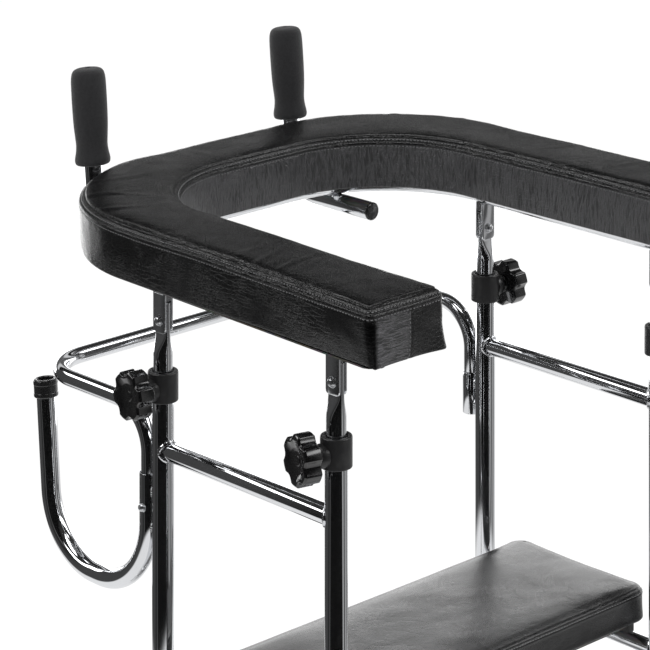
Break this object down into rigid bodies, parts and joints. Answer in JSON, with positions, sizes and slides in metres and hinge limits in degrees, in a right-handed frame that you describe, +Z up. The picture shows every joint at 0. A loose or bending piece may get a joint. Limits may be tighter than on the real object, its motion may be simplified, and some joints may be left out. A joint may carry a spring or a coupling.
{
  "type": "forearm support walker",
  "caption": "Standing walking frame with a U-shaped padded forearm rest, vertical hand grips, height clamps, a flip-up seat and swivel casters.",
  "frame": {"origin": "on the floor, under the middle of the whole frame (the bottom centre of its bounding box), 30.5 mm in front of the middle of the four legs", "axes": "+X to the right of the user, +Y forward towards the closed end of the pad and the hand grips, +Z up"},
  "size_m": [0.654, 0.795, 1.1005],
  "materials": {
    "chrome_tube": "polished",
    "chrome_bracket": "polished",
    "zinc_steel": "satin",
    "collar_plastic": "satin",
    "knob_plastic": "gloss",
    "black_leatherette": "satin",
    "foam_grip": "matte",
    "backing_board": "matte",
    "black_rubber": "matte",
    "caster_tread": "matte"
  },
  "bodies": {
    "frame": {"leg_front_left": "chrome_tube", "leg_rear_left": "chrome_tube", "leg_front_right": "chrome_tube", "leg_rear_right": "chrome_tube", "clamp_collar_front_left": "collar_plastic", "clamp_collar_rear_left": "collar_plastic", "clamp_collar_front_right": "collar_plastic", "clamp_collar_rear_right": "collar_plastic", "upper_side_tube_left": "chrome_tube", "upper_side_tube_right": "chrome_tube", "lower_side_tube_left": "chrome_tube", "lower_side_tube_right": "chrome_tube", "base_tube_left": "chrome_tube", "base_tube_right": "chrome_tube", "seat_stop_left": "black_rubber", "seat_stop_right": "black_rubber", "front_cross_tube": "chrome_tube", "base_cross_tube": "chrome_tube", "front_rail": "chrome_tube", "holder_tube": "chrome_tube", "holder_cap": "knob_plastic", "rail_socket": "chrome_tube", "seat_hinge_rod": "zinc_steel"},
    "pad_lift": {"lift_tube_front_left": "chrome_tube", "lift_tube_rear_left": "chrome_tube", "lift_tube_front_right": "chrome_tube", "lift_tube_rear_right": "chrome_tube", "pivot_bracket_front_left": "chrome_bracket", "pivot_bracket_rear_left": "chrome_bracket", "pivot_bracket_front_right": "chrome_bracket", "pivot_bracket_rear_right": "chrome_bracket", "pad_ring_tube": "chrome_tube", "pad_board": "backing_board", "forearm_pad": "black_leatherette", "handle_bar_left": "chrome_tube", "handle_bar_right": "chrome_tube", "handle_grip_left": "foam_grip", "handle_grip_right": "foam_grip", "handle_plug_left": "collar_plastic", "handle_plug_right": "collar_plastic"},
    "seat": {"seat_pad": "black_leatherette", "seat_board": "backing_board"},
    "clamp_knob_front_left_body": {"clamp_knob_front_left": "knob_plastic"},
    "clamp_knob_rear_left_body": {"clamp_knob_rear_left": "knob_plastic"},
    "clamp_knob_front_right_body": {"clamp_knob_front_right": "knob_plastic"},
    "clamp_knob_rear_right_body": {"clamp_knob_rear_right": "knob_plastic"},
    "caster_front_left": {"caster_fork_front_left": "zinc_steel"},
    "wheel_front_left": {"caster_wheel_front_left": "caster_tread"},
    "caster_rear_left": {"caster_fork_rear_left": "zinc_steel"},
    "wheel_rear_left": {"caster_wheel_rear_left": "caster_tread"},
    "caster_front_right": {"caster_fork_front_right": "zinc_steel"},
    "wheel_front_right": {"caster_wheel_front_right": "caster_tread"},
    "caster_rear_right": {"caster_fork_rear_right": "zinc_steel"},
    "wheel_rear_right": {"caster_wheel_rear_right": "caster_tread"},
    "pedal_left": {"brake_pedal_left": "collar_plastic"},
    "pedal_right": {"brake_pedal_right": "collar_plastic"}
  },
  "joints": [
    {"name": "pad_height", "type": "slide", "parent": "frame", "child": "pad_lift", "axis": [0, 0, 1], "range_m": [0, 0.25]},
    {"name": "clamp_screw_front_left", "type": "hinge", "parent": "frame", "child": "clamp_knob_front_left_body", "pos_m": [-0.262, 0.11352, 0.798], "axis": [-0.9962, 0.0872, 0], "range_deg": [0, 540]},
    {"name": "clamp_screw_rear_left", "type": "hinge", "parent": "frame", "child": "clamp_knob_rear_left_body", "pos_m": [-0.262, -0.17448, 0.798], "axis": [-0.9659, 0.2588, 0], "range_deg": [0, 540]},
    {"name": "clamp_screw_front_right", "type": "hinge", "parent": "frame", "child": "clamp_knob_front_right_body", "pos_m": [0.262, 0.11352, 0.798], "axis": [1, 0, 0], "range_deg": [0, 540]},
    {"name": "clamp_screw_rear_right", "type": "hinge", "parent": "frame", "child": "clamp_knob_rear_right_body", "pos_m": [0.262, -0.17448, 0.798], "axis": [1, 0, 0], "range_deg": [0, 540]},
    {"name": "seat_flip", "type": "hinge", "parent": "frame", "child": "seat", "pos_m": [0, 0.04952, 0.4505], "axis": [-1, 0, 0], "range_deg": [0, 78]},
    {"name": "caster_swivel_front_left", "type": "hinge", "parent": "frame", "child": "caster_front_left", "pos_m": [-0.262, 0.24452, 0.12], "axis": [0, 0, 1], "continuous": true},
    {"name": "wheel_spin_front_left", "type": "hinge", "parent": "caster_front_left", "child": "wheel_front_left", "pos_m": [-0.262, 0.20952, 0.05], "axis": [1, 0, 0], "continuous": true},
    {"name": "caster_swivel_rear_left", "type": "hinge", "parent": "frame", "child": "caster_rear_left", "pos_m": [-0.262, -0.30548, 0.12], "axis": [0, 0, 1], "continuous": true},
    {"name": "wheel_spin_rear_left", "type": "hinge", "parent": "caster_rear_left", "child": "wheel_rear_left", "pos_m": [-0.262, -0.34048, 0.05], "axis": [1, 0, 0], "continuous": true},
    {"name": "caster_swivel_front_right", "type": "hinge", "parent": "frame", "child": "caster_front_right", "pos_m": [0.262, 0.24452, 0.12], "axis": [0, 0, 1], "continuous": true},
    {"name": "wheel_spin_front_right", "type": "hinge", "parent": "caster_front_right", "child": "wheel_front_right", "pos_m": [0.262, 0.20952, 0.05], "axis": [1, 0, 0], "continuous": true},
    {"name": "caster_swivel_rear_right", "type": "hinge", "parent": "frame", "child": "caster_rear_right", "pos_m": [0.262, -0.30548, 0.12], "axis": [0, 0, 1], "continuous": true},
    {"name": "wheel_spin_rear_right", "type": "hinge", "parent": "caster_rear_right", "child": "wheel_rear_right", "pos_m": [0.262, -0.34048, 0.05], "axis": [1, 0, 0], "continuous": true},
    {"name": "brake_pedal_left_press", "type": "hinge", "parent": "caster_rear_left", "child": "pedal_left", "pos_m": [-0.262, -0.35848, 0.1035], "axis": [1, 0, 0], "range_deg": [0, 12]},
    {"name": "brake_pedal_right_press", "type": "hinge", "parent": "caster_rear_right", "child": "pedal_right", "pos_m": [0.262, -0.35848, 0.1035], "axis": [1, 0, 0], "range_deg": [0, 12]}
  ]
}
